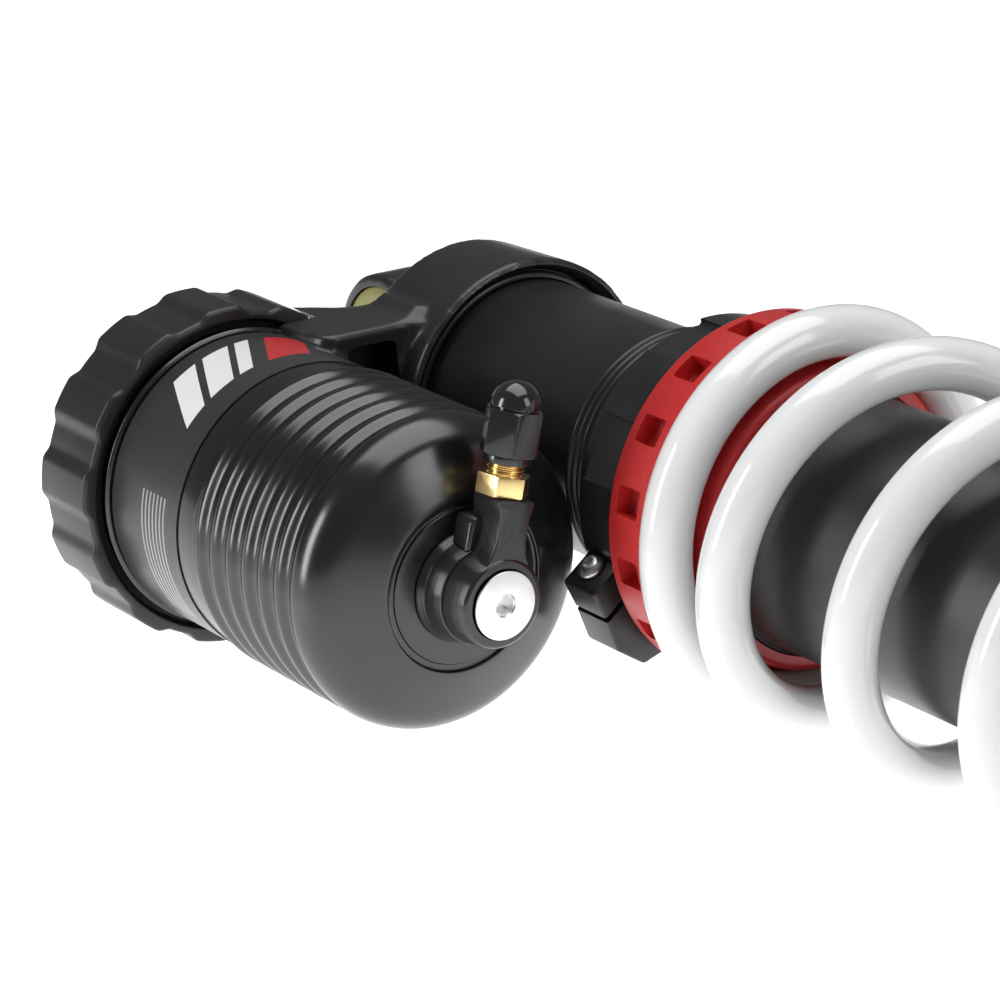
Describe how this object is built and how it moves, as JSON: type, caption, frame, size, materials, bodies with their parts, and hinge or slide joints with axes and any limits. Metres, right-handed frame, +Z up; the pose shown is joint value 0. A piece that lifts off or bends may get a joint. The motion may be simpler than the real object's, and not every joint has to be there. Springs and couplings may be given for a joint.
{
  "type": "motorcycle rear shock absorber",
  "caption": "Coil-over rear shock absorber with a piggyback gas reservoir, swivelling gas valve, screwed preload ring, long-travel rod and a lower fork.",
  "frame": {"origin": "centre of the upper eye's bearing, where the bolt that holds the shock passes", "axes": "+X along the damper from the upper eye to the lower fork, +Y away from the reservoir, +Z up; both bolts lie along Y"},
  "size_m": [0.514, 0.1485, 0.0955],
  "materials": {
    "black_casting": "satin black, softly rounded cast aluminium",
    "black_anodised": "satin black anodised, fine turning marks",
    "gloss_black_anodised": "glossy black anodised",
    "steel": "machined steel",
    "silver_aluminium": "fine turned, clear anodised",
    "brass": "turned brass",
    "red_moulding": "moulded red plastic, scuffed on its edges",
    "white_powder_coat": "glossy white powder coat",
    "black_rubber": "matt rubber",
    "olive_seal": "matt olive-yellow seal",
    "bronze_bush": "bronze-filled bearing material",
    "label_film": "dark grey printed film with plain shapes",
    "chrome": "hard chrome, polished"
  },
  "bodies": {
    "damper_body": {"head_casting": "black_casting", "body_tube": "black_anodised", "upper_bearing_race": "steel", "upper_seal_left": "olive_seal", "upper_seal_right": "olive_seal", "reservoir_end_ring": "black_anodised", "reservoir_rear_plug": "black_anodised", "rear_plug_o_ring": "black_rubber", "compression_adjuster_body": "steel", "compression_valve_shims": "steel", "reservoir_cap": "gloss_black_anodised", "reservoir_label": "label_film", "cap_o_ring": "black_rubber", "swivel_boss": "silver_aluminium", "swivel_bolt": "silver_aluminium", "seal_head": "black_anodised", "rod_bush": "bronze_bush", "rod_seal": "black_rubber", "dust_wiper": "black_rubber", "seal_head_clip": "steel", "spring": "white_powder_coat"},
    "upper_ball": {"upper_bearing_ball": "steel", "upper_spacer_left": "silver_aluminium", "upper_spacer_right": "silver_aluminium"},
    "valve_swivel": {"valve_arm": "black_anodised", "valve_stem": "brass", "valve_core": "brass"},
    "valve_pin": {"valve_pin": "steel"},
    "valve_cap": {"valve_cap": "gloss_black_anodised"},
    "preload_adjuster": {"clamp_collar": "black_anodised", "clamp_screw": "steel", "preload_seat": "red_moulding"},
    "gas_piston": {"gas_piston": "silver_aluminium", "gas_piston_o_ring": "black_rubber"},
    "high_speed_nut": {"high_speed_nut": "black_anodised"},
    "low_speed_screw": {"low_speed_screw": "brass"},
    "shaft_assembly": {"shaft": "chrome", "main_piston": "silver_aluminium", "piston_band": "bronze_bush", "rebound_shims": "steel", "compression_shims": "steel", "piston_nut": "steel", "top_out_bumper": "black_rubber", "bump_stop": "black_rubber", "bump_cup": "black_anodised", "lower_spring_seat": "black_anodised", "lower_clevis": "black_anodised"},
    "rebound_adjuster": {"rebound_adjuster": "brass"},
    "rebound_needle": {"rebound_needle": "silver_aluminium"}
  },
  "joints": [
    {"name": "shaft_slide", "type": "slide", "parent": "damper_body", "child": "shaft_assembly", "axis": [-1, 0, 0], "range_m": [0, 0.125], "stiffness_N_per_m": 46000, "deforming": ["spring"]},
    {"name": "gas_piston_slide", "type": "slide", "parent": "damper_body", "child": "gas_piston", "axis": [1, 0, 0], "range_m": [0, 0.013]},
    {"name": "upper_ball_turn", "type": "hinge", "parent": "damper_body", "child": "upper_ball", "pos_m": [0, 0, 0], "axis": [0, 1, 0], "continuous": true},
    {"name": "valve_swivel_turn", "type": "hinge", "parent": "damper_body", "child": "valve_swivel", "pos_m": [0.128, -0.0647, -0.0112], "axis": [1, 0, 0], "range_deg": [-25, 180]},
    {"name": "valve_cap_off", "type": "slide", "parent": "valve_swivel", "child": "valve_cap", "axis": [0, 0.2164, 0.9763], "range_m": [0, 0.012]},
    {"name": "valve_pin_press", "type": "slide", "parent": "valve_swivel", "child": "valve_pin", "axis": [0, -0.2164, -0.9763], "range_m": [0, 0.0012], "stiffness_N_per_m": 300},
    {"name": "preload_slide", "type": "slide", "parent": "damper_body", "child": "preload_adjuster", "axis": [1, 0, 0], "range_m": [-0.0012, 0]},
    {"name": "high_speed_turn", "type": "hinge", "parent": "damper_body", "child": "high_speed_nut", "pos_m": [0.002, -0.0647, -0.0112], "axis": [1, 0, 0], "range_deg": [0, 720]},
    {"name": "low_speed_turn", "type": "hinge", "parent": "damper_body", "child": "low_speed_screw", "pos_m": [0.002, -0.0647, -0.0112], "axis": [1, 0, 0], "range_deg": [0, 1080]},
    {"name": "rebound_turn", "type": "hinge", "parent": "shaft_assembly", "child": "rebound_adjuster", "pos_m": [0.444, 0, -0.01], "axis": [0, 0, 1], "range_deg": [0, 1080]},
    {"name": "rebound_needle_slide", "type": "slide", "parent": "shaft_assembly", "child": "rebound_needle", "axis": [-1, 0, 0], "range_m": [0, 0.0031]}
  ],
  "couplings": [
    {"joint": "gas_piston_slide", "follows": "shaft_slide", "ratio": 0.1033},
    {"joint": "rebound_needle_slide", "follows": "rebound_turn", "m_per_rad": 0.00015915}
  ]
}
